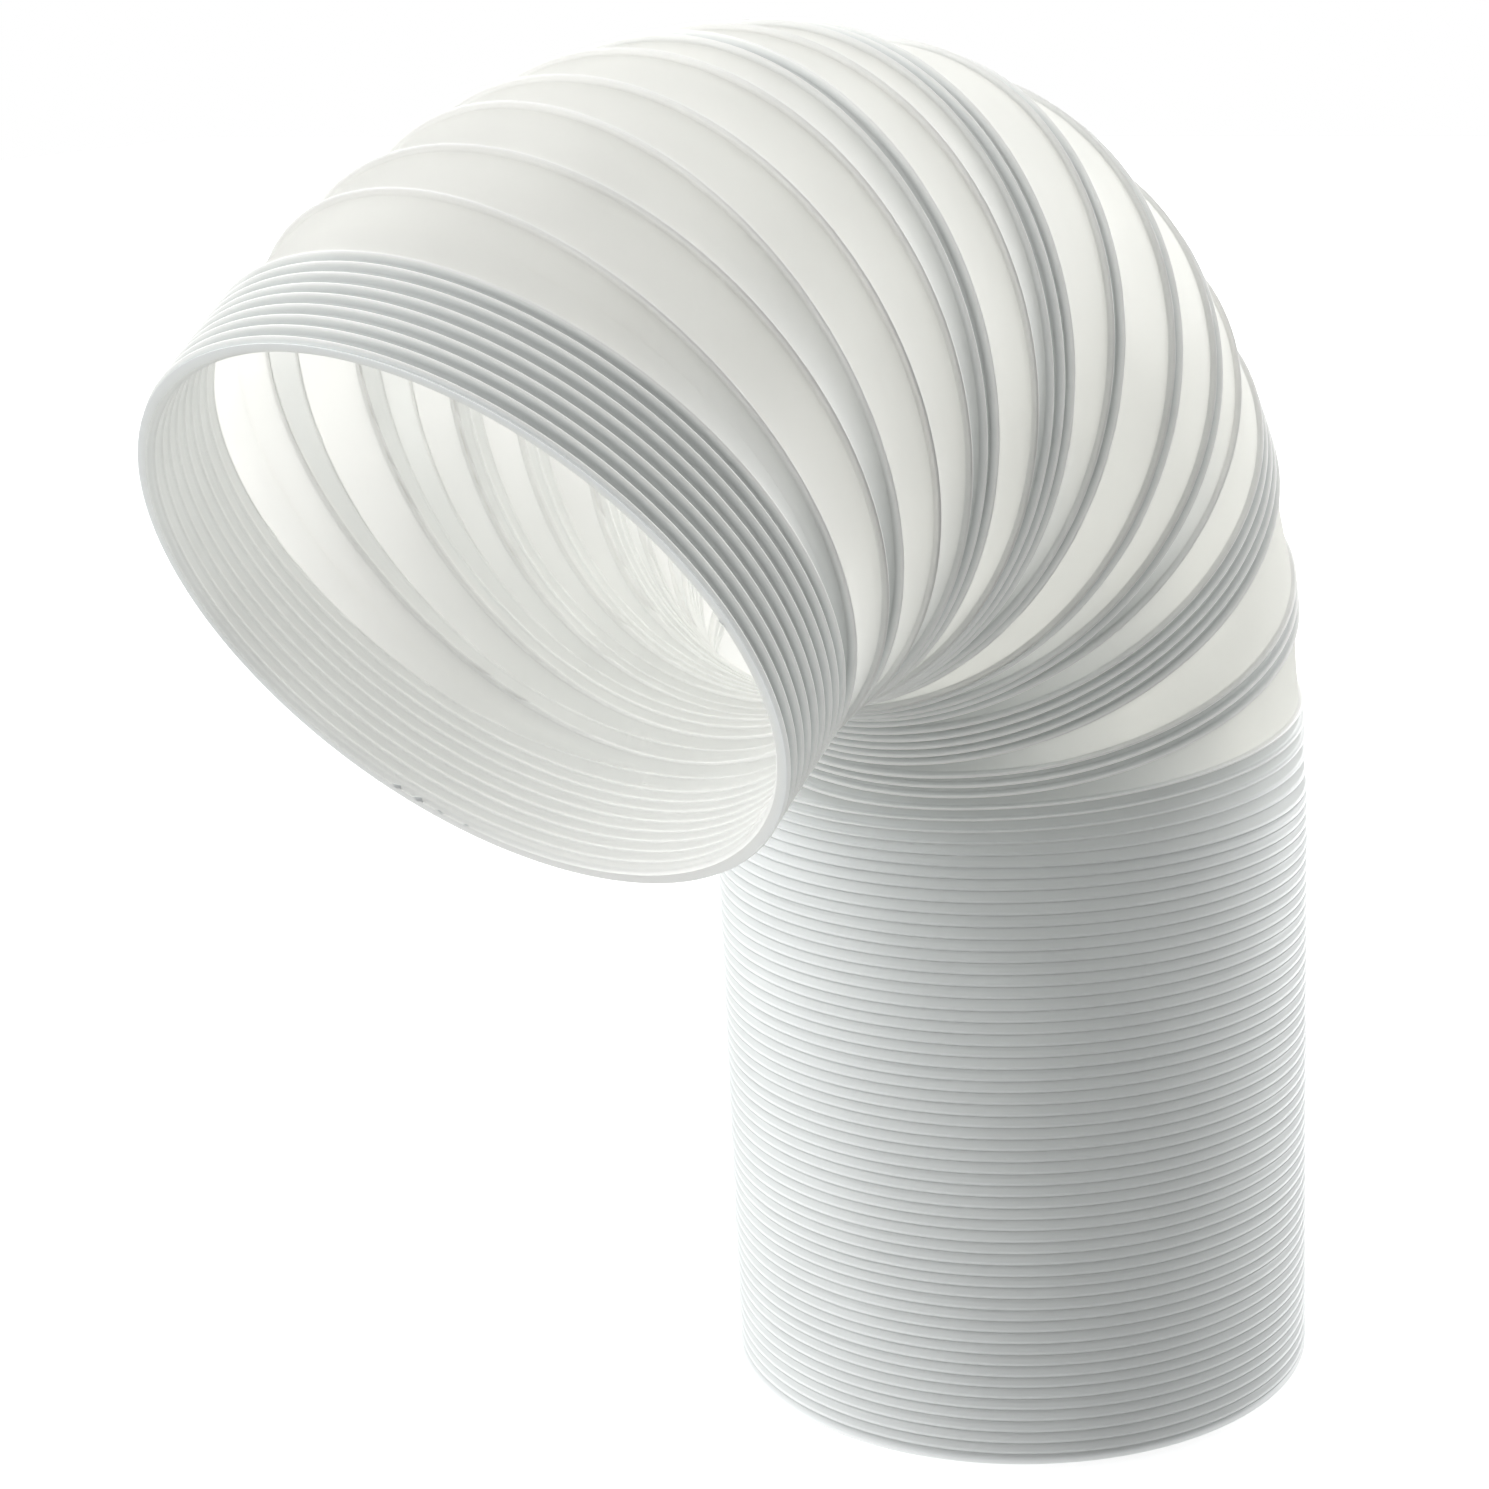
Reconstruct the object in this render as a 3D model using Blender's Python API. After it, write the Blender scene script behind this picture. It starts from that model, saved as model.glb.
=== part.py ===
"""Flexible exhaust hose of a portable air conditioner, 150 mm across.

The hose is one continuous piece: a left-handed spiral rib of polypropylene with a thin film between
its turns. It stands on a closed stack of turns, bends over through more than a right angle and ends
in a short closed cuff, its mouth tipped down and towards -Y.

In a closed run the ribs are 3 mm apart and stand 1 mm proud of the valleys between them. Here the
stack has every fifth of its valleys, the cuff has every third, and a run in the bend is a plain
tube. Between two runs lies an open turn: a sunken band of film. On the inner side of the bend, the
crease, the turns stay stacked, and each open turn tips the rest of the hose by its own angle. Its
hinge lies near the crease, now on one side of it and now on the other.
"""

import math

import bmesh
import bpy
from mathutils import Matrix, Vector

# Section of the hose, in metres
CREST_RADIUS = 0.075
CLOSED_PITCH = 0.00294
CLOSED_WALL = 0.0036
FILM_DEPTH = 0.0013
FILM_THICKNESS = 0.0011

# Depth of a valley between two closed ribs. It is one turn wide
VALLEY_DEPTH = 0.0010

# Closed stack that the hose stands on, and how many turns lie from one of its valleys to the next
STACK_TURNS = 51
STACK_VALLEYS = 5

# Bend, from the stack to the cuff: how many degrees an open turn tips the hose, how many degrees its
# hinge lies off the crease, towards +X, and how many turns stay closed together after it. The first
# run has no open turn before it
BEND = (
    (0.0, 0.0, 6),
    (15.2, 19.0, 3),
    (14.6, -6.0, 5),
    (8.6, -8.0, 1),
    (9.9, 24.0, 2),
    (11.0, -7.0, 2),
    (8.5, -54.0, 2),
    (10.7, 13.0, 3),
    (5.5, 37.0, 1),
    (5.2, -56.0, 2),
    (4.7, 34.0, 1),
    (6.1, -12.0, 1),
    (5.0, -42.0, 1),
    (6.4, 36.0, 1),
    (5.3, -32.0, 1),
)

# In the bend the turns are pressed together at the crease, to this height each, and each closed
# turn of a run fans out by so many degrees from the one before it. An open turn adds a small gap
CREASE_PITCH = 0.00276
CREASE_GAP = 0.0003
RUN_FAN = 0.9

# Last open turn, and the closed cuff at the free end with its own spacing of valleys
CUFF_OPENING = 6.8
CUFF_HINGE = 40.0
CUFF_TURNS = 9
CUFF_VALLEYS = 3

# Shares by which the hose has drawn in at the mouth, in the plane of the bend and across it
MOUTH_DRAW = 0.030
MOUTH_SQUEEZE = 0.055

# Flat sides of the round section, and the part of the smallest gap within which two edges are one
SIDES = 40
MERGE_SHARE = 0.1


def reach_and_width(share):
    """Half the hose in the plane of the bend, and half of it across, so far along the bend."""
    reach = CREST_RADIUS * (1 - MOUTH_DRAW * share)
    width = CREST_RADIUS * (1 - MOUTH_SQUEEZE * share)
    return reach, width


def tipped(opening, side, gap, share):
    """Step that tips the hose by opening about a hinge that lies side off the crease, both in
    degrees, and leaves a gap there. Its origin is the crease, with +Y to the outer side."""
    reach, width = reach_and_width(share)
    side = math.radians(side)
    hinge = Vector((width * math.sin(side), reach * (1 - math.cos(side)), 0.0))
    axis = Vector((width * math.cos(side), reach * math.sin(side), 0.0))
    half = Matrix.Rotation(math.radians(opening) / 2, 4, axis)
    rise = half @ Matrix.Translation((0.0, 0.0, gap)) @ half
    return Matrix.Translation(hinge) @ rise @ Matrix.Translation(-hinge)


def valleys(place, pitch, turns, spacing, shares):
    """Stations of the valleys in a straight closed run: one every so many turns, a V in section.
    They shape only the outside. shares are those of the first and the last turn."""
    found = []
    for middle in range(spacing, turns, spacing):
        for turn, depth in ((middle - 0.5, 0.0), (middle, VALLEY_DEPTH), (middle + 0.5, 0.0)):
            share = shares[0] + (shares[1] - shares[0]) * turn / turns
            risen = place @ Matrix.Translation((0.0, 0.0, turn * pitch))
            found.append((risen, share, depth, None))
    return found


def stations():
    """Cross-sections from the floor to the mouth, as (place of the crease point, share of the way
    along the bend, outer depth below the crest, inner depth below the crest or None)."""
    bend_turns = sum(turns for _, _, turns in BEND)
    film_inside = FILM_DEPTH + FILM_THICKNESS
    place = Matrix.Translation((0.0, -CREST_RADIUS, 0.0))
    turn = 0
    found = [(place, 0.0, 0.0, CLOSED_WALL)]
    found += valleys(place, CLOSED_PITCH, STACK_TURNS, STACK_VALLEYS, (0.0, 0.0))
    place = place @ Matrix.Translation((0.0, 0.0, STACK_TURNS * CLOSED_PITCH))
    found.append((place, 0.0, 0.0, CLOSED_WALL))

    for opening, side, turns in BEND + ((CUFF_OPENING, CUFF_HINGE, CUFF_TURNS),):
        share = turn / (bend_turns + CUFF_TURNS)
        if opening:
            found.append((place, share, FILM_DEPTH, film_inside))
            place = place @ tipped(opening, side, CREASE_GAP, share)
            found.append((place, share, FILM_DEPTH, film_inside))
            found.append((place, share, 0.0, CLOSED_WALL))
        if turn == bend_turns:
            found += valleys(place, CREASE_PITCH, turns, CUFF_VALLEYS, (share, 1.0))

        for fanned in range(turns):
            if 0 < fanned and turn < bend_turns:
                place = place @ tipped(RUN_FAN, 0.0, 0.0, share)
            place = place @ Matrix.Translation((0.0, 0.0, CREASE_PITCH))
            turn += 1
        share = turn / (bend_turns + CUFF_TURNS)
        found.append((place, share, 0.0, CLOSED_WALL))
    return found


def round_at(place, share, depth):
    """Matrix that lays a unit circle in the plane of a turn, sunk by depth below the rib's crest."""
    reach, width = reach_and_width(share)
    sizes = Matrix.Diagonal((width - depth, reach - depth, 1.0, 1.0))
    return place @ Matrix.Translation((0.0, reach, 0.0)) @ sizes


def hose_material():
    """Off-white polypropylene with the soft sheen it has straight from the extruder."""
    material = bpy.data.materials.new("white_polypropylene")
    material.use_nodes = True
    shader = material.node_tree.nodes["Principled BSDF"]
    shader.inputs["Base Color"].default_value = (0.80, 0.81, 0.79, 1.0)
    shader.inputs["Roughness"].default_value = 0.42
    shader.inputs["Metallic"].default_value = 0.0
    shader.inputs["IOR"].default_value = 1.49
    return material


def make_hose():
    """The whole hose as one closed wall: a round of edges extruded up the outside from the floor to
    the mouth, back down the inside, and across the standing end."""
    path = stations()
    outside = [round_at(place, share, depth) for place, share, depth, _ in path]
    inside = [round_at(place, share, depth) for place, share, _, depth in path if depth]
    rounds = outside + inside[::-1] + outside[:1]

    mesh = bmesh.new()
    bmesh.ops.create_circle(mesh, segments=SIDES, radius=1.0, matrix=rounds[0])
    edges = mesh.edges[:]
    for here, there in zip(rounds, rounds[1:]):
        grown = bmesh.ops.extrude_edge_only(mesh, edges=edges)["geom"]
        edges = [part for part in grown if isinstance(part, bmesh.types.BMEdge)]
        moved = [part for part in grown if isinstance(part, bmesh.types.BMVert)]
        bmesh.ops.transform(mesh, matrix=there @ here.inverted(), verts=moved)
    bmesh.ops.remove_doubles(mesh, verts=mesh.verts, dist=CREASE_GAP * MERGE_SHARE)
    bmesh.ops.recalc_face_normals(mesh, faces=mesh.faces)

    data = bpy.data.meshes.new("hose")
    mesh.to_mesh(data)
    mesh.free()
    data.shade_smooth()
    data.set_sharp_from_angle(angle=math.radians(35))
    data.materials.append(hose_material())
    hose = bpy.data.objects.new("hose", data)
    bpy.context.scene.collection.objects.link(hose)

    # The origin is on the floor, in the middle of the space that the hose takes up
    for axis in (0, 1):
        reaches = [vert.co[axis] for vert in data.vertices]
        hose.location[axis] = -(min(reaches) + max(reaches)) / 2
    return hose


def main():
    for old in list(bpy.data.objects):
        bpy.data.objects.remove(old, do_unlink=True)
    make_hose()


main()
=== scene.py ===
"""Flexible exhaust hose of a portable air conditioner, wound turn by turn, bent over and lit as in
a studio.

The hose is one left-handed spiral of polypropylene: a thin rib that stands proud, and a wide film
from each of its turns to the next. Where the turns are pushed together the film is folded away
behind the ribs. In the bend some turns open on the outer side and show their film as a band.

Each stretch of the hose is first wound straight and closed, about the Z axis. It then gets its
section, its wall and its place in the bend, rib by rib. The inner edge of the mouth is a little
torn.

The light and the glow of the plastic are set to match the photograph. The glow stands in for light
that scatters many times inside the white hose. It isn't a property of polypropylene, so inner_glow
goes to 0 for any other light.
"""

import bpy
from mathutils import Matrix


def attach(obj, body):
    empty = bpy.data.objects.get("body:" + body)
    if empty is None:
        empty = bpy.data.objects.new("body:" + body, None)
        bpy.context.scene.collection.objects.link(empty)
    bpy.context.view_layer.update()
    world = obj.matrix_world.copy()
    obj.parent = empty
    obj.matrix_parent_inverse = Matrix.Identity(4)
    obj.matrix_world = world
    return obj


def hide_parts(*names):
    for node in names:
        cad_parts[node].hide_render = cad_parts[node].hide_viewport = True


bl_info = {
    "name": "Flexible Exhaust Hose",
    "version": (1, 0, 0),
    "blender": (4, 5, 0),
    "location": "3D View > Sidebar > Hose",
    "description": "Winds a collapsible exhaust hose, bends it over and sets it in a studio",
    "category": "Object",
}

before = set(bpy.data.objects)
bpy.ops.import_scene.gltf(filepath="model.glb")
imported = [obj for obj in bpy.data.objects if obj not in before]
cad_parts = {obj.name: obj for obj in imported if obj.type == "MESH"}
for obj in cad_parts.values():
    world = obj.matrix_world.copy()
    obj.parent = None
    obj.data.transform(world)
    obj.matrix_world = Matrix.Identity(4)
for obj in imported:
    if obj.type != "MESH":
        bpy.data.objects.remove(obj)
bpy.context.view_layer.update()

import math

import bpy
import numpy as np
from mathutils import Matrix, Vector

NODE = "hose"
BODY = "root"

# Turns of the closed stack that the hose stands on, and of the closed cuff at its free end
STACK_TURNS = 51
CUFF_TURNS = 9

# Bend, from the stack to the mouth: how many degrees an open turn tips the hose, how many degrees
# its hinge lies off the crease, towards +X, and how many turns stay together after it
BEND = (
    (0.0, 0.0, 6),
    (15.2, 19.0, 3),
    (14.6, -6.0, 5),
    (8.6, -8.0, 1),
    (9.9, 24.0, 2),
    (11.0, -7.0, 2),
    (8.5, -54.0, 2),
    (10.7, 13.0, 3),
    (5.5, 37.0, 1),
    (5.2, -56.0, 2),
    (4.7, 34.0, 1),
    (6.1, -12.0, 1),
    (5.0, -42.0, 1),
    (6.4, 36.0, 1),
    (5.3, -32.0, 1),
    (6.8, 40.0, CUFF_TURNS),
)
BEND_TURNS = sum(turns for _, _, turns in BEND) - CUFF_TURNS
TURNS = STACK_TURNS + BEND_TURNS + CUFF_TURNS

# Rows of faces across one closed turn, and how many of them lie on each side of a rib
ROWS = 16
RIB_ROWS = 3

# Share of its height that a rib has fallen by, at each of those rows
RIB_FALL = (0.0, 0.05, 0.5, 1.0)

# Ribs that are added past each end, so that the last real ones have a neighbour
SPARE_RIBS = 3

# Points round one turn, in the stack and the bend and in the cuff
SPOKES = 128
CUFF_SPOKES = 160

# Share of a turn, on each side of the crease, in which the spiral passes from one rib to the next
CROSSING = 0.12

# Turns after the stack in which its look gives way to that of the bend
LOOSENING_TURNS = 8

MILLIMETRE = 0.001

# Widening of the gap at which an open turn counts as fully open, and how much sooner its section
# gets there than its colour
FULL_OPENING = 10 * MILLIMETRE
SECTION_LEAD = 1.6

# How far the film's dip fades beside a rib, and how deep the film starts in a closed run, as a
# share of the valley
DIP_FADE = 3.0 * MILLIMETRE
SHOULDER_SHARE = 0.85

# How far all of the hose lies inside its nominal surface, and how far its ribs stray along it and
# inwards
INSET = 0.05 * MILLIMETRE
STRAY_ALONG = 0.12 * MILLIMETRE
STRAY_INWARDS = 0.08 * MILLIMETRE

# How much light goes through a rib of the stack, and how much painted glow the ribs of the closed
# runs give off
STACK_RIB_CLEAR = 0.05
RIB_GLOW = 0.6

# Torn bits on the inner edge of the mouth: how many degrees round from the crease, how far each
# stands inwards and how far its tip leans round the rim, both in millimetres
TORN_BITS = (
    (39.6, 1.8, 0.9),
    (35.2, 2.0, 0.8),
    (30.4, 1.0, -0.4),
    (25.6, 0.9, 0.5),
    (259.0, 1.0, 0.4),
)

# Radius of the foot of a torn bit, how flat it is, how far it lies behind the mouth's plane, and
# how deep its foot sits in the wall
BIT_RADIUS = 1.7 * MILLIMETRE
BIT_FLATNESS = 0.16
BIT_BACK = 0.2 * MILLIMETRE
BIT_ROOT = 0.3 * MILLIMETRE

# Soft light panels round the hose, as seen from the camera: degrees round from the camera towards
# the right, degrees up, and brightness
PANELS = (
    (0.0, 5.0, 0.14),
    (-45.0, 10.0, 0.3),
    (-90.0, 15.0, 2.7),
    (-90.0, 50.0, 1.5),
    (180.0, 40.0, 0.7),
    (135.0, 10.0, 4.7),
    (90.0, 5.0, 0.4),
)

# Camera as fitted to the photograph, in degrees: its field of view, how far it turns from the
# stack to the left, how far it looks down, and its roll
CAMERA_FIELD = 27.78
CAMERA_TURN = 5.18
CAMERA_DOWN = 15.19
CAMERA_ROLL = -2.63


class HoseShape(bpy.types.PropertyGroup):
    """Sizes of the hose."""

    crest_radius: bpy.props.FloatProperty(
        name="Crest Radius",
        description="Radius of the closed hose over its ribs",
        default=0.075,
        unit="LENGTH",
    )
    closed_pitch: bpy.props.FloatProperty(
        name="Closed Pitch",
        description="Height of one turn where the hose is pushed together",
        default=0.00294,
        unit="LENGTH",
    )
    crease_pitch: bpy.props.FloatProperty(
        name="Crease Pitch",
        description="Height of one turn at the crease, where the bend presses the turns together",
        default=0.00276,
        unit="LENGTH",
    )
    rib_crest: bpy.props.FloatProperty(
        name="Rib Crest",
        description="Width of a rib at its crest",
        default=0.0004,
        unit="LENGTH",
    )
    rib_foot: bpy.props.FloatProperty(
        name="Rib Foot",
        description="Width of a rib where the film leaves it",
        default=0.0008,
        unit="LENGTH",
    )
    rib_height: bpy.props.FloatProperty(
        name="Rib Height",
        description="How far a rib stands proud of the open film",
        default=0.0009,
        unit="LENGTH",
    )
    film_dip: bpy.props.FloatProperty(
        name="Film Dip",
        description="How much deeper the open film starts on the mouth side of a rib",
        default=0.0005,
        unit="LENGTH",
    )
    film_sag: bpy.props.FloatProperty(
        name="Film Sag",
        description="How far a wide open band of film curves inwards",
        default=0.0007,
        unit="LENGTH",
    )
    stack_valley: bpy.props.FloatProperty(
        name="Stack Valley",
        description="Depth of the valley between two turns of the stack, below the ribs",
        default=0.0010,
        unit="LENGTH",
    )
    stack_shoulder: bpy.props.FloatProperty(
        name="Stack Shoulder",
        description="Depth of the folded film beside the mouth side of a rib, in the stack",
        default=0.0003,
        unit="LENGTH",
    )
    run_valley: bpy.props.FloatProperty(
        name="Run Valley",
        description="Depth of the valleys in the closed runs of the bend and in the cuff",
        default=0.0022,
        unit="LENGTH",
    )
    folded_wall: bpy.props.FloatProperty(
        name="Folded Wall",
        description="Thickness behind the valleys where the film is folded away",
        default=0.0010,
        unit="LENGTH",
    )
    rib_back: bpy.props.FloatProperty(
        name="Rib Back",
        description="How far the back of a rib stands proud of the wall inside the hose",
        default=0.0004,
        unit="LENGTH",
    )
    rim_wall: bpy.props.FloatProperty(
        name="Rim Wall",
        description="Thickness of the hose at its two cut ends",
        default=0.0025,
        unit="LENGTH",
    )
    film_wall: bpy.props.FloatProperty(
        name="Film Wall",
        description="Thickness of the film where it is open",
        default=0.0005,
        unit="LENGTH",
    )
    crease_gap: bpy.props.FloatProperty(
        name="Crease Gap",
        description="Extra height of an open turn at its hinge",
        default=0.0003,
        unit="LENGTH",
    )
    run_fan: bpy.props.FloatProperty(
        name="Run Fan",
        description="Angle by which each closed turn in the bend fans out from the last one",
        default=math.radians(0.9),
        unit="ROTATION",
    )
    mouth_draw: bpy.props.FloatProperty(
        name="Mouth Draw",
        description="Share by which the mouth has drawn in, in the plane of the bend",
        default=0.030,
        subtype="FACTOR",
    )
    mouth_squeeze: bpy.props.FloatProperty(
        name="Mouth Squeeze",
        description="Share by which the mouth has drawn in across the bend",
        default=0.055,
        subtype="FACTOR",
    )


class HoseFinish(bpy.types.PropertyGroup):
    """Colours and surface of the hose and its studio."""

    # Also painted on the crests of the ribs of bend and cuff as a painted highlight, and all over
    # the inside as painted light
    film_colour: bpy.props.StringProperty(
        name="Film",
        description="Colour of the open film, as sRGB hex",
        default="FAFAF8",
    )
    folded_colour: bpy.props.StringProperty(
        name="Folded Turns",
        description="Colour where the turns lie together, as sRGB hex",
        default="F0F3F3",
    )
    # Painted shade: darker colour for the folded film in the grooves between the ribs of bend and
    # cuff
    painted_groove_shade_colour: bpy.props.StringProperty(
        name="Grooves",
        description="Colour of the folded film between the ribs of bend and cuff, as sRGB hex",
        default="D8DBDA",
    )
    film_clear: bpy.props.FloatProperty(
        name="Film Clearness",
        description="Share of the light that goes on through the wall of open film",
        default=0.74,
        subtype="FACTOR",
    )
    folded_clear: bpy.props.FloatProperty(
        name="Folded Clearness",
        description="The same for the outside of folded turns",
        default=0.20,
        subtype="FACTOR",
    )
    lining_clear: bpy.props.FloatProperty(
        name="Lining Clearness",
        description="The same for the inside of folded turns",
        default=0.55,
        subtype="FACTOR",
    )
    rib_clear: bpy.props.FloatProperty(
        name="Rib Clearness",
        description="The same for the ribs of the closed runs of the bend and of the cuff",
        default=0.30,
        subtype="FACTOR",
    )
    inner_glow: bpy.props.FloatProperty(
        name="Inner Glow",
        description="Light that the inside, the ribs and the rim give off, matched to the photo",
        default=0.33,
    )
    floor_colour: bpy.props.StringProperty(
        name="Floor",
        description="Colour of the white table that the hose stands on, as sRGB hex",
        default="F2F2F2",
    )


class StudioSettings(bpy.types.PropertyGroup):
    """Camera and lights."""

    view_bearing: bpy.props.FloatProperty(
        name="View Bearing",
        description="Where the camera stands round the stack, from the side of the mouth",
        default=math.radians(28.97),
        unit="ROTATION",
    )
    view_distance: bpy.props.FloatProperty(
        name="View Distance",
        description="Level distance from the camera to the axis of the stack",
        default=0.7392,
        unit="LENGTH",
    )
    view_height: bpy.props.FloatProperty(
        name="View Height",
        description="Height of the camera over the floor",
        default=0.3645,
        unit="LENGTH",
    )
    panel_softness: bpy.props.FloatProperty(
        name="Panel Softness",
        description="How quickly a light panel fades away from its middle. More is quicker",
        default=5.0,
    )
    room_light: bpy.props.FloatProperty(
        name="Room Light",
        description="Brightness of all the light panels together",
        default=1.0,
    )
    floor_light: bpy.props.FloatProperty(
        name="Floor Light",
        description="Brightness of the white table as the hose sees it",
        default=0.22,
    )
    table_glow: bpy.props.FloatProperty(
        name="Table Glow",
        description="Extra brightness of the white table as the camera sees it",
        default=0.5,
    )


def smooth(share):
    """Goes from 0 to 1 with level ends."""
    share = np.clip(share, 0.0, 1.0)
    return share * share * (3.0 - 2.0 * share)


def stack_centre():
    """Middle of the hose's standing end, from the lowest points of the CAD hose."""
    points = np.array([vert.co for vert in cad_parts[NODE].data.vertices])
    base = points[points[:, 2] < points[:, 2].min() + 0.1 * MILLIMETRE]
    return Vector((base.min(0) + base.max(0)) / 2)


def reach_and_width(turn, shape):
    """Half the hose in the plane of the bend, and half of it across, after so many bent turns."""
    share = turn / (BEND_TURNS + CUFF_TURNS)
    reach = shape.crest_radius * (1 - shape.mouth_draw * share)
    width = shape.crest_radius * (1 - shape.mouth_squeeze * share)
    return reach, width


def tipped(opening, side, height, turn, shape):
    """Step from one rib to the next. The hose tips by opening about a hinge that lies side off the
    crease, and rises by height there. Its origin is the crease, with +Y to the outer side."""
    reach, width = reach_and_width(turn, shape)
    hinge = Vector((width * math.sin(side), reach * (1 - math.cos(side)), 0.0))
    axis = Vector((width * math.cos(side), reach * math.sin(side), 0.0))
    half = Matrix.Rotation(opening / 2, 4, axis)
    rise = half @ Matrix.Translation((0.0, 0.0, height)) @ half
    return Matrix.Translation(hinge) @ rise @ Matrix.Translation(-hinge)


def rib_places(shape):
    """For each rib from the floor to the mouth, and a few spare ones past both ends: its centre,
    its axes across, to the outer side and along the hose, its reach and width, and its pitch."""
    pitch = shape.closed_pitch
    start = Matrix.Translation(stack_centre() + Vector((0.0, -shape.crest_radius, pitch / 2)))
    places = [
        (start @ Matrix.Translation((0.0, 0.0, rib * pitch)), 0, pitch)
        for rib in range(-SPARE_RIBS, STACK_TURNS)
    ]
    pitch = shape.crease_pitch
    place = places[-1][0] @ Matrix.Translation((0.0, 0.0, (shape.closed_pitch - pitch) / 2))
    turn = 0
    for opening, side, turns in BEND:
        fan = shape.run_fan if turn < BEND_TURNS else 0.0
        for rib in range(turns):
            if rib == 0 and opening:
                step = (math.radians(opening), math.radians(side), pitch + shape.crease_gap)
            else:
                step = (fan if rib else 0.0, 0.0, pitch)
            place = place @ tipped(*step, turn, shape)
            turn += 1
            places.append((place, turn, pitch))
    for _ in range(SPARE_RIBS):
        place = place @ Matrix.Translation((0.0, 0.0, pitch))
        places.append((place, turn, pitch))

    axes = np.array([matrix for matrix, _, _ in places])
    sizes = np.array([reach_and_width(turn, shape) for _, turn, _ in places])
    return {
        "centre": axes[:, :3, 3] + axes[:, :3, 1] * sizes[:, :1],
        "across": axes[:, :3, 0],
        "back": axes[:, :3, 1],
        "along": axes[:, :3, 2],
        "reach": sizes[:, 0],
        "width": sizes[:, 1],
        "pitch": np.array([pitch for _, _, pitch in places]),
    }


def rib_at(turns, angle, places):
    """Crest point, axis along the hose and inward direction at so many turns up the spiral."""
    turns = turns + SPARE_RIBS
    lower = np.clip(np.floor(turns).astype(int), 0, len(places["reach"]) - 2)
    past = turns - lower
    passed = smooth((past - 0.5) / (2 * CROSSING) + 0.5)[:, None]

    def mixed(name):
        values = places[name]
        return values[lower] * (1 - passed) + values[lower + 1] * passed

    def unit(name):
        vectors = mixed(name)
        return vectors / np.linalg.norm(vectors, axis=1)[:, None]

    def raised(rib, turns_up):
        height = places["pitch"][rib] * turns_up
        return places["centre"][rib] + places["along"][rib] * height[:, None]

    below = raised(lower, past)
    above = raised(lower + 1, past - 1)
    centre = below * (1 - passed) + above * passed
    sizes = np.stack((places["width"], places["reach"]), 1)
    sizes = sizes[lower] * (1 - passed) + sizes[lower + 1] * passed
    sine, cosine = np.sin(angle)[:, None], np.cos(angle)[:, None]
    across, back = unit("across"), unit("back")
    inward = across * sine + back * cosine
    crest = centre - across * sine * sizes[:, :1] - back * cosine * sizes[:, 1:]
    return crest, unit("along"), inward


def wobble(turns, strength):
    """Small uneven places along the rib, as the hose has after it has been pulled and pushed."""
    waves = np.sin(turns * 4.1) + np.sin(turns * 11.7 + 1.3) + 0.6 * np.sin(turns * 26.3 + 4.0)
    return waves * strength / 2.6


def stacked(turns):
    """1 in the stack, falling to 0 in the first turns of the bend."""
    return 1 - smooth((turns - STACK_TURNS) / LOOSENING_TURNS)


def film_depths(turns, up, gap, spread, shape):
    """Depths of the film's outside and of its inner side without the wall, below the rib's crest.
    up goes from 0 at the rib on the floor's side to 1 at the rib on the mouth's side."""
    dip = shape.film_dip * np.exp(-up * gap / DIP_FADE)
    open_depth = shape.rib_height + dip + shape.film_sag * spread * 4 * up * (1 - up)
    in_stack = stacked(turns)
    valley = shape.run_valley + (shape.stack_valley - shape.run_valley) * in_stack
    run_shoulder = SHOULDER_SHARE * shape.run_valley
    shoulder = run_shoulder + (shape.stack_shoulder - run_shoulder) * in_stack
    closed_depth = shoulder + (valley - shoulder) * up
    outer = closed_depth + (open_depth - closed_depth) * spread
    inner = valley + (open_depth - valley) * spread
    return outer, inner


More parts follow.
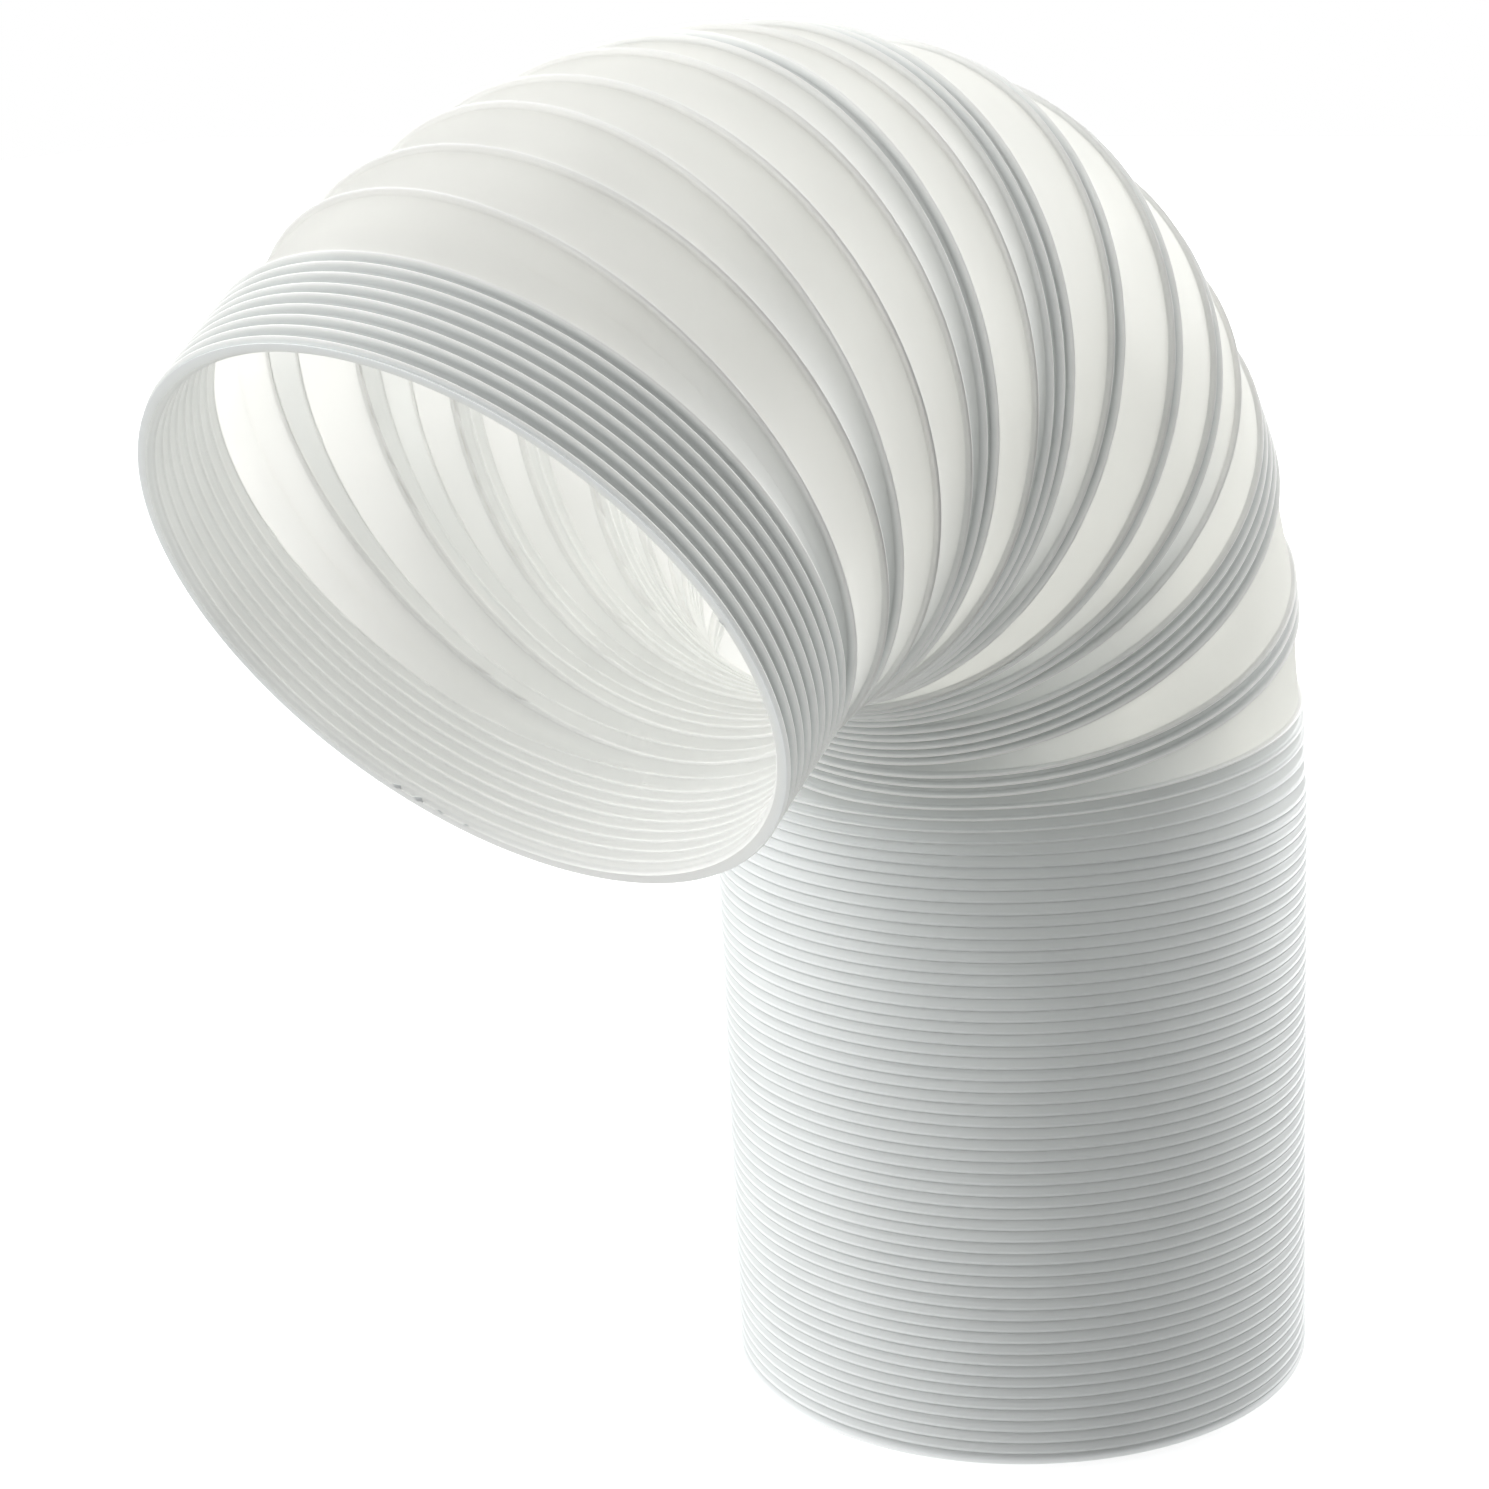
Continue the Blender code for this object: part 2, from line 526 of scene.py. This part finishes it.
def bent(points, first, shape, finish):
    """Moves points of a straight closed winding to the shaped and bent hose. Also returns what
    the material reads there, each from 0 to 1: how pale the hose is, raised as painted light on
    the inside and as a painted highlight on the rib crests of bend and cuff, how much painted
    shade darkens a groove, how much painted glow it gives off and how clear it is."""
    pitch = shape.closed_pitch
    places = rib_places(shape)
    angle = np.mod(np.arctan2(-points[:, 0], -points[:, 1]), 2 * math.pi)
    share = angle / (2 * math.pi)
    height = first + points[:, 2] / pitch
    turns = height - share
    rib = np.floor(turns + 1e-5)
    offset = turns - rib - 0.5
    side = np.where(offset < 0, -1.0, 1.0)
    row = np.abs(offset) * ROWS

    at = rib + share - 0.5
    here, along, inward = rib_at(at, angle, places)
    there, next_along, next_inward = rib_at(at + side, angle, places)
    foot = shape.rib_foot / 2
    edge_here = here + along * (side * foot)[:, None]
    edge_there = there - next_along * (side * foot)[:, None]
    gap = np.linalg.norm(edge_there - edge_here, axis=1)
    opening = np.clip((gap - pitch + 2 * foot) / FULL_OPENING, 0.0, 1.0)
    spread = smooth(opening * SECTION_LEAD)

    # Rows of the rib are set close together. Those of the film share the gap to the next rib, and
    # where it is closed three quarters of it belong to the rib on the floor's side
    on_rib = row <= RIB_ROWS
    crest = shape.rib_crest / 2
    distance = np.interp(row, range(RIB_ROWS + 1), (0.0, crest, (crest + foot) / 2, foot))
    beyond = np.clip((row - RIB_ROWS) / (ROWS / 2 - RIB_ROWS), 0.0, 1.0)
    reach = 0.5 + side * 0.25 * (1 - spread)
    part = reach * beyond ** (1.0 + 0.9 * spread)
    up = np.where(side > 0, part, 1 - part)
    film = edge_here + (edge_there - edge_here) * part[:, None]
    film_inward = inward + (next_inward - inward) * part[:, None]
    film_inward /= np.linalg.norm(film_inward, axis=1)[:, None]
    ridge = here + along * (side * distance)[:, None]
    place = np.where(on_rib[:, None], ridge, film)
    inwards = np.where(on_rib[:, None], inward, film_inward)

    # Towards the two cut ends the rows spread evenly, so that each cut stays flat
    to_end = np.minimum(height - 0.5, TURNS + 0.5 - height)
    end_pitch = np.where(height < STACK_TURNS, pitch, shape.crease_pitch)
    level = here + along * (offset * end_pitch)[:, None]
    place += (level - place) * (1 - smooth(to_end))[:, None]
    rim = smooth(1 - 2 * to_end)

    is_inner = np.hypot(points[:, 0], points[:, 1]) < shape.crest_radius - shape.film_wall / 2
    fall = np.where(on_rib, np.interp(row, range(RIB_ROWS + 1), RIB_FALL), 1.0)
    outer, inner = film_depths(turns, up, gap, spread, shape)
    outer_depth = outer * fall * (1 - 0.7 * rim)
    wall = shape.folded_wall + (shape.film_wall - shape.folded_wall) * spread
    inner_depth = inner + wall + shape.rib_back * (1 - fall) * (1 + spread)
    inner_depth += (shape.rim_wall - inner_depth) * rim
    depth = np.where(is_inner, inner_depth, outer_depth) + INSET

    # The ribs stray less where the film is open, and not at all at the two cuts
    calm = smooth(to_end / 2) * (1 - 0.6 * opening)
    place += along * (wobble(at, STRAY_ALONG) * calm)[:, None]
    depth += (wobble(at * 1.37 + 2.0, STRAY_INWARDS) + STRAY_INWARDS) * calm

    in_bend = 1 - stacked(turns)
    folded = np.where(is_inner, finish.lining_clear, finish.folded_clear)
    clear = folded + (finish.film_clear - folded) * opening
    # Painted glow: the inside gives off light, less at the backs of the ribs, and so do the crests
    # of the closed ribs of bend and cuff
    lining_glow = 1 - (1 - fall) * (0.15 + 0.8 * spread)
    rib_glow = RIB_GLOW * (1 - fall) * in_bend * (1 - opening)
    rib_clear = STACK_RIB_CLEAR + (finish.rib_clear - STACK_RIB_CLEAR) * in_bend * (1 - opening)
    looks = {
        # Painted light: the inside and the crests of the ribs of bend and cuff are made paler, a
        # painted highlight on the crests; the groove value is painted shade between those ribs;
        # the glow value is painted light given off by the inside, those crests and the rim
        "paleness_and_painted_light": np.maximum(np.where(is_inner, 1.0, opening), (1 - fall) * in_bend),
        "painted_groove_shade": np.where(is_inner, 0.0, fall * (1 - spread) * in_bend * (1 - rim)),
        "glow": np.maximum(np.where(is_inner, lining_glow, rib_glow), rim),
        "clear": rib_clear + (clear - rib_clear) * fall,
    }
    return place + inwards * depth[:, None], looks


def select_only(piece):
    """Deselects all, then selects a piece and makes it the active one."""
    bpy.ops.object.select_all(action="DESELECT")
    piece.select_set(True)
    bpy.context.view_layer.objects.active = piece


def wound(name, first, turns, spokes, shape, cut=None):
    """Closed straight winding with a thin wall. cut keeps what is above (+1) or below (-1) a
    height, given in turns."""
    bpy.ops.object.select_all(action="DESELECT")
    bpy.ops.mesh.primitive_plane_add(size=shape.closed_pitch)
    piece = bpy.context.object
    piece.name = piece.data.name = name
    bpy.ops.object.mode_set(mode="EDIT")
    bpy.ops.mesh.select_all(action="SELECT")
    bpy.ops.mesh.merge(type="CENTER")
    bpy.ops.transform.translate(value=(0.0, -shape.crest_radius, 0.0))
    for _ in range(ROWS):
        rise = (0.0, 0.0, shape.closed_pitch / ROWS)
        bpy.ops.mesh.extrude_region_move(TRANSFORM_OT_translate={"value": rise})
    bpy.ops.object.mode_set(mode="OBJECT")

    wind = piece.modifiers.new("wind", "SCREW")
    wind.angle = -2 * math.pi
    wind.screw_offset = shape.closed_pitch
    wind.iterations = turns
    wind.steps = wind.render_steps = spokes
    wind.use_merge_vertices = False
    bpy.ops.object.modifier_apply(modifier=wind.name)

    bpy.ops.object.mode_set(mode="EDIT")
    bpy.ops.mesh.select_all(action="SELECT")
    bpy.ops.mesh.remove_doubles(threshold=shape.closed_pitch / ROWS / 100)
    bpy.ops.mesh.normals_make_consistent(inside=False)
    if cut:
        height, keep = cut
        bpy.ops.mesh.bisect(
            plane_co=(0.0, 0.0, (height - first) * shape.closed_pitch),
            plane_no=(0.0, 0.0, 1.0),
            clear_inner=keep > 0,
            clear_outer=keep < 0,
            threshold=shape.closed_pitch / ROWS / 100,
        )

    # The cut edges stay sharp, so that the thin rims don't shade into the wall
    bpy.ops.mesh.select_mode(type="EDGE")
    bpy.ops.mesh.select_all(action="DESELECT")
    bpy.ops.mesh.select_non_manifold(extend=False)
    bpy.ops.mesh.mark_sharp()
    bpy.ops.mesh.select_mode(type="VERT")
    bpy.ops.object.mode_set(mode="OBJECT")

    wall = piece.modifiers.new("wall", "SOLIDIFY")
    wall.thickness = shape.film_wall
    wall.offset = -1
    bpy.ops.object.modifier_apply(modifier=wall.name)
    return piece


def finish_piece(piece, first, shape, finish):
    """Bends a straight winding, writes what its material reads, and joins it to the frame."""
    data = piece.data
    points = np.empty(len(data.vertices) * 3)
    data.vertices.foreach_get("co", points)
    points = points.reshape(-1, 3)
    placed, looks = bent(points, first, shape, finish)
    for name, values in looks.items():
        data.attributes.new(name, "FLOAT", "POINT").data.foreach_set("value", values)
    straight = points + (0.0, 0.0, first * shape.closed_pitch)
    unbent = data.attributes.new("straight", "FLOAT_VECTOR", "POINT")
    unbent.data.foreach_set("vector", straight.ravel())
    data.vertices.foreach_set("co", placed.ravel())
    data.update()
    select_only(piece)
    bpy.ops.object.shade_smooth()
    data.materials.clear()
    data.materials.append(extruded_polypropylene(finish, shape))
    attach(piece, BODY)
    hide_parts(NODE)


def linear(code):
    """Linear RGBA of an sRGB hex colour."""
    values = [int(code[place : place + 2], 16) / 255 for place in (0, 2, 4)]
    return [v / 12.92 if v <= 0.04045 else ((v + 0.055) / 1.055) ** 2.4 for v in values] + [1.0]


def add_node(tree, kind, settings=None, inputs=None, links=None):
    """Adds a node, sets its properties and its input values, and links inputs to other outputs."""
    node = tree.nodes.new(kind)
    for name, value in (settings or {}).items():
        setattr(node, name, value)
    for name, value in (inputs or {}).items():
        node.inputs[name].default_value = value
    for name, output in (links or {}).items():
        tree.links.new(output, node.inputs[name])
    return node


def new_material(name):
    """An empty node material and its output node."""
    material = bpy.data.materials.new(name)
    material.use_nodes = True
    material.node_tree.nodes.clear()
    return material, add_node(material.node_tree, "ShaderNodeOutputMaterial")


def extruded_polypropylene(finish, shape):
    """Polypropylene strip as it comes from the extruder: white, satin and slightly milky, so that
    the single film lets the light behind it through and folded turns look greyer. The crests of
    the ribs of bend and cuff are painted paler, a painted highlight, and the grooves between
    them darker, painted shade; the inside is painted paler too, painted light. IOR 1.49 and
    roughness about 0.4 are typical. The emission isn't: it is painted glow, matched to the
    photograph, and is a third to a half of the brightness inside."""
    name = "extruded_polypropylene"
    if name in bpy.data.materials:
        return bpy.data.materials[name]
    material, output = new_material(name)
    tree = material.node_tree

    def read(name):
        return add_node(tree, "ShaderNodeAttribute", {"attribute_name": name})

    def worked_out(operation, first, second):
        """A Math node. Each of its two terms is an output or a plain number."""
        node = add_node(tree, "ShaderNodeMath", {"operation": operation})
        for socket, term in enumerate((first, second)):
            if isinstance(term, (int, float)):
                node.inputs[socket].default_value = term
            else:
                tree.links.new(term, node.inputs[socket])
        return node.outputs[0]

    paleness_and_painted_light, painted_groove_shade, clear, glowing = (read(name) for name in ("paleness_and_painted_light", "painted_groove_shade", "clear", "glow"))

    # Where the strip lies: how far along the spiral, and how far across one turn
    straight = read("straight")
    place = add_node(tree, "ShaderNodeSeparateXYZ", links={0: straight.outputs["Vector"]})
    west = worked_out("MULTIPLY", place.outputs["X"], -1.0)
    south = worked_out("MULTIPLY", place.outputs["Y"], -1.0)
    share = worked_out("DIVIDE", worked_out("ARCTAN2", west, south), 2 * math.pi)
    share = add_node(tree, "ShaderNodeMath", {"operation": "FRACT"}, links={0: share}).outputs[0]
    height = worked_out("DIVIDE", place.outputs["Z"], shape.closed_pitch)
    turns = worked_out("SUBTRACT", height, share)
    across = add_node(tree, "ShaderNodeMath", {"operation": "FRACT"}, links={0: turns})
    strip = add_node(tree, "ShaderNodeCombineXYZ", links={0: across.outputs[0], 1: height})

    # Die lines run along the strip. They vary only its sheen
    streaks = add_node(
        tree,
        "ShaderNodeMapping",
        inputs={"Scale": (16.0, 0.7, 1.0)},
        links={"Vector": strip.outputs[0]},
    )
    lines = add_node(
        tree,
        "ShaderNodeTexNoise",
        inputs={"Scale": 1.0, "Detail": 0.0},
        links={"Vector": streaks.outputs[0]},
    )
    where = add_node(tree, "ShaderNodeTexCoord")
    clouds = add_node(
        tree,
        "ShaderNodeTexNoise",
        inputs={"Scale": 28.0, "Detail": 1.0},
        links={"Vector": where.outputs["Object"]},
    )
    # Film colour where the hose is open, and also as painted light on the inside and as a painted
    # highlight on the crests of the ribs of bend and cuff
    colour = add_node(
        tree,
        "ShaderNodeMix",
        {"data_type": "RGBA"},
        {"A": linear(finish.folded_colour), "B": linear(finish.film_colour)},
        {"Factor": paleness_and_painted_light.outputs["Fac"]},
    )
    # Painted shade: the grooves between the ribs of bend and cuff are darkened towards the groove
    # colour
    shaded = add_node(
        tree,
        "ShaderNodeMix",
        {"data_type": "RGBA"},
        {"B": linear(finish.painted_groove_shade_colour)},
        {"Factor": painted_groove_shade.outputs["Fac"], "A": colour.outputs["Result"]},
    )
    tone = add_node(
        tree,
        "ShaderNodeMapRange",
        inputs={"To Min": 0.95, "To Max": 1.04},
        links={"Value": clouds.outputs["Fac"]},
    )
    toned = add_node(
        tree,
        "ShaderNodeHueSaturation",
        links={"Color": shaded.outputs["Result"], "Value": tone.outputs[0]},
    )
    rough = add_node(
        tree,
        "ShaderNodeMapRange",
        inputs={"To Min": 0.34, "To Max": 0.5},
        links={"Value": lines.outputs["Fac"]},
    )
    # Painted glow: emission on the inside, on the crests of the closed ribs of bend and cuff and
    # on the rim
    glow = worked_out("MULTIPLY", glowing.outputs["Fac"], finish.inner_glow)
    front = add_node(
        tree,
        "ShaderNodeBsdfPrincipled",
        inputs={"IOR": 1.49},
        links={
            "Base Color": toned.outputs["Color"],
            "Emission Color": toned.outputs["Color"],
            "Emission Strength": glow,
            "Roughness": rough.outputs[0],
        },
    )
    behind = add_node(
        tree, "ShaderNodeBsdfTranslucent", links={"Color": toned.outputs["Color"]}
    )
    both = add_node(
        tree,
        "ShaderNodeMixShader",
        links={0: clear.outputs["Fac"], 1: front.outputs[0], 2: behind.outputs[0]},
    )
    tree.links.new(both.outputs[0], output.inputs["Surface"])

    # The glow comes evenly from all over, so aiming light samples at each face only costs time
    material.cycles.emission_sampling = "NONE"
    return material


def opal_acrylic(finish, studio):
    """Opal acrylic table, cast matt and lit from below, so that it looks white right up to the
    hose. Roughness about 0.6. Only the camera sees it that white: the hose gets the light that
    floor_light states."""
    material, output = new_material("opal_acrylic")
    tree = material.node_tree
    where = add_node(tree, "ShaderNodeTexCoord")
    grain = add_node(
        tree,
        "ShaderNodeTexNoise",
        inputs={"Scale": 60.0, "Detail": 4.0},
        links={"Vector": where.outputs["Object"]},
    )
    tone = add_node(
        tree,
        "ShaderNodeMapRange",
        inputs={"To Min": 0.985, "To Max": 1.0},
        links={"Value": grain.outputs["Fac"]},
    )
    colour = add_node(
        tree,
        "ShaderNodeHueSaturation",
        inputs={"Color": linear(finish.floor_colour)},
        links={"Value": tone.outputs[0]},
    )
    face = add_node(
        tree,
        "ShaderNodeBsdfPrincipled",
        inputs={"Roughness": 0.6, "Emission Strength": studio.table_glow},
        links={"Base Color": colour.outputs[0], "Emission Color": colour.outputs[0]},
    )
    glow = add_node(tree, "ShaderNodeEmission", inputs={"Strength": studio.floor_light})
    rays = add_node(tree, "ShaderNodeLightPath")
    both = add_node(
        tree,
        "ShaderNodeMixShader",
        links={0: rays.outputs["Is Camera Ray"], 1: glow.outputs[0], 2: face.outputs[0]},
    )
    tree.links.new(both.outputs[0], output.inputs["Surface"])
    return material


def panel_room(studio, turned):
    """Dark room with the soft light panels. The camera sees plain white."""
    world = bpy.data.worlds.new("panel_room")
    world.use_nodes = True
    tree = world.node_tree
    tree.nodes.clear()
    where = add_node(tree, "ShaderNodeTexCoord")
    total = None
    for round_angle, up_angle, brightness in PANELS:
        level = math.cos(math.radians(up_angle))
        towards = Vector(
            (
                level * math.sin(math.radians(round_angle)),
                -level * math.cos(math.radians(round_angle)),
                math.sin(math.radians(up_angle)),
            )
        )
        facing = add_node(
            tree,
            "ShaderNodeVectorMath",
            {"operation": "DOT_PRODUCT"},
            {1: turned @ towards},
            {0: where.outputs["Generated"]},
        )
        fading = add_node(
            tree,
            "ShaderNodeMath",
            {"operation": "MULTIPLY_ADD"},
            {1: studio.panel_softness, 2: -studio.panel_softness},
            {0: facing.outputs["Value"]},
        )
        lobe = add_node(
            tree, "ShaderNodeMath", {"operation": "EXPONENT"}, links={0: fading.outputs[0]}
        )
        panel = add_node(
            tree,
            "ShaderNodeMath",
            {"operation": "MULTIPLY_ADD"},
            {1: brightness * studio.room_light, 2: 0.0},
            {0: lobe.outputs[0], **({2: total} if total else {})},
        )
        total = panel.outputs[0]
    room = add_node(tree, "ShaderNodeBackground", links={"Strength": total})
    seen = add_node(tree, "ShaderNodeBackground", inputs={"Strength": 1.0})
    for background in (room, seen):
        background.inputs["Color"].default_value = linear("FFFFFF")
    rays = add_node(tree, "ShaderNodeLightPath")
    sky = add_node(
        tree,
        "ShaderNodeMixShader",
        links={0: rays.outputs["Is Camera Ray"], 1: room.outputs[0], 2: seen.outputs[0]},
    )
    add_node(tree, "ShaderNodeOutputWorld", links={"Surface": sky.outputs[0]})
    return world


class HOSE_OT_wind_stack(bpy.types.Operator):
    """Wind the closed stack that the hose stands on"""

    bl_idname = "hose.wind_stack"
    bl_label = "Wind Stack"

    def execute(self, context):
        shape, finish = context.scene.hose_shape, context.scene.hose_finish
        third = STACK_TURNS // 3
        lower = wound("hose_stack_lower", -1, third + 1, SPOKES, shape, cut=(0.5, 1))
        finish_piece(lower, -1, shape, finish)
        middle = wound("hose_stack_middle", third, third, SPOKES, shape)
        finish_piece(middle, third, shape, finish)
        last = STACK_TURNS - 2 * third
        upper = wound("hose_stack_upper", 2 * third, last, SPOKES, shape)
        finish_piece(upper, 2 * third, shape, finish)
        return {"FINISHED"}


class HOSE_OT_wind_bend(bpy.types.Operator):
    """Wind the bend, from the stack to the cuff"""

    bl_idname = "hose.wind_bend"
    bl_label = "Wind Bend"

    def execute(self, context):
        shape, finish = context.scene.hose_shape, context.scene.hose_finish
        half = BEND_TURNS // 2
        lower = wound("hose_bend_lower", STACK_TURNS, half, SPOKES, shape)
        finish_piece(lower, STACK_TURNS, shape, finish)
        rest = BEND_TURNS - half
        upper = wound("hose_bend_upper", STACK_TURNS + half, rest, SPOKES, shape)
        finish_piece(upper, STACK_TURNS + half, shape, finish)
        return {"FINISHED"}


class HOSE_OT_wind_cuff(bpy.types.Operator):
    """Wind the closed cuff at the free end"""

    bl_idname = "hose.wind_cuff"
    bl_label = "Wind Cuff"

    def execute(self, context):
        shape, finish = context.scene.hose_shape, context.scene.hose_finish
        first = TURNS - CUFF_TURNS
        cut = (TURNS + 0.5, -1)
        cuff = wound("hose_cuff", first, CUFF_TURNS + 1, CUFF_SPOKES, shape, cut=cut)
        finish_piece(cuff, first, shape, finish)
        return {"FINISHED"}


class HOSE_OT_tear_rim(bpy.types.Operator):
    """Add the small torn bits to the inner edge of the mouth"""

    bl_idname = "hose.tear_rim"
    bl_label = "Tear Rim"

    def execute(self, context):
        shape, finish = context.scene.hose_shape, context.scene.hose_finish
        angle = np.radians([place for place, _, _ in TORN_BITS])
        mouth = np.full(len(angle), TURNS - 0.5)
        crest, along, inward = rib_at(mouth, angle, rib_places(shape))
        edge = crest - along * BIT_BACK + inward * (shape.rim_wall - BIT_ROOT)
        bits = []
        for at, front, middle, (_, rise, lean) in zip(edge, along, inward, TORN_BITS):
            bpy.ops.object.select_all(action="DESELECT")
            bpy.ops.mesh.primitive_cone_add(vertices=6, radius1=BIT_RADIUS, depth=1.0)
            bit = context.object
            front, middle = Vector(front), Vector(middle)
            round_rim = middle.cross(front)
            tip = (middle * rise + round_rim * lean) * MILLIMETRE
            seat = Matrix((round_rim, front * BIT_FLATNESS, tip)).transposed().to_4x4()
            seat.translation = Vector(at)
            bit.data.transform(seat @ Matrix.Translation((0.0, 0.0, 0.5)))
            bits.append(bit)
        bpy.ops.object.select_all(action="DESELECT")
        for bit in bits:
            bit.select_set(True)
        context.view_layer.objects.active = bits[0]
        bpy.ops.object.join()
        torn = context.object
        torn.name = torn.data.name = "hose_torn_bits"
        bpy.ops.object.mode_set(mode="EDIT")
        bpy.ops.mesh.select_all(action="SELECT")
        bpy.ops.mesh.normals_make_consistent(inside=False)
        bpy.ops.object.mode_set(mode="OBJECT")
        torn.data.materials.append(extruded_polypropylene(finish, shape))
        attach(torn, BODY)
        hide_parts(NODE)
        return {"FINISHED"}


class HOSE_OT_set_stage(bpy.types.Operator):
    """Set the floor, the lights and the camera"""

    bl_idname = "hose.set_stage"
    bl_label = "Set Stage"

    def execute(self, context):
        studio, finish = context.scene.hose_studio, context.scene.hose_finish
        bpy.ops.object.select_all(action="DESELECT")
        bpy.ops.mesh.primitive_plane_add(size=8.0)
        floor = context.object
        floor.name = "studio_floor"
        floor.data.materials.append(opal_acrylic(finish, studio))

        turned = Matrix.Rotation(studio.view_bearing, 4, "Z")
        base = stack_centre()
        context.scene.world = panel_room(studio, turned.to_3x3())
        context.scene.view_settings.view_transform = "Standard"

        data = bpy.data.cameras.new("photo_camera")
        data.sensor_width = 36.0
        data.angle = math.radians(CAMERA_FIELD)
        camera = bpy.data.objects.new("photo_camera", data)
        camera.matrix_world = (
            Matrix.Translation(base)
            @ turned
            @ Matrix.Translation((0.0, -studio.view_distance, studio.view_height))
            @ Matrix.Rotation(math.radians(CAMERA_TURN), 4, "Z")
            @ Matrix.Rotation(math.radians(90.0 - CAMERA_DOWN), 4, "X")
            @ Matrix.Rotation(math.radians(CAMERA_ROLL), 4, "Z")
        )
        context.scene.collection.objects.link(camera)
        context.scene.camera = camera
        return {"FINISHED"}


class HOSE_PT_sidebar(bpy.types.Panel):
    """Sizes, finish and steps of the exhaust hose"""

    bl_label = "Exhaust Hose"
    bl_idname = "HOSE_PT_sidebar"
    bl_space_type = "VIEW_3D"
    bl_region_type = "UI"
    bl_category = "Hose"

    def draw(self, context):
        for group in GROUPS:
            settings = getattr(context.scene, group)
            box = self.layout.box()
            for name in settings.__annotations__:
                box.prop(settings, name)
        for operator in OPERATORS:
            self.layout.operator(operator.bl_idname)


GROUPS = {"hose_shape": HoseShape, "hose_finish": HoseFinish, "hose_studio": StudioSettings}
OPERATORS = (
    HOSE_OT_set_stage,
    HOSE_OT_wind_stack,
    HOSE_OT_wind_bend,
    HOSE_OT_wind_cuff,
    HOSE_OT_tear_rim,
)
CLASSES = (*GROUPS.values(), *OPERATORS, HOSE_PT_sidebar)


def register():
    for kind in CLASSES:
        bpy.utils.register_class(kind)
    for name, group in GROUPS.items():
        setattr(bpy.types.Scene, name, bpy.props.PointerProperty(type=group))


def unregister():
    for name in GROUPS:
        delattr(bpy.types.Scene, name)
    for kind in reversed(CLASSES):
        bpy.utils.unregister_class(kind)


def main():
    register()
    bpy.ops.hose.set_stage()
    bpy.ops.hose.wind_stack()
    bpy.ops.hose.wind_bend()
    bpy.ops.hose.wind_cuff()
    bpy.ops.hose.tear_rim()


if __name__ == "__main__":
    main()
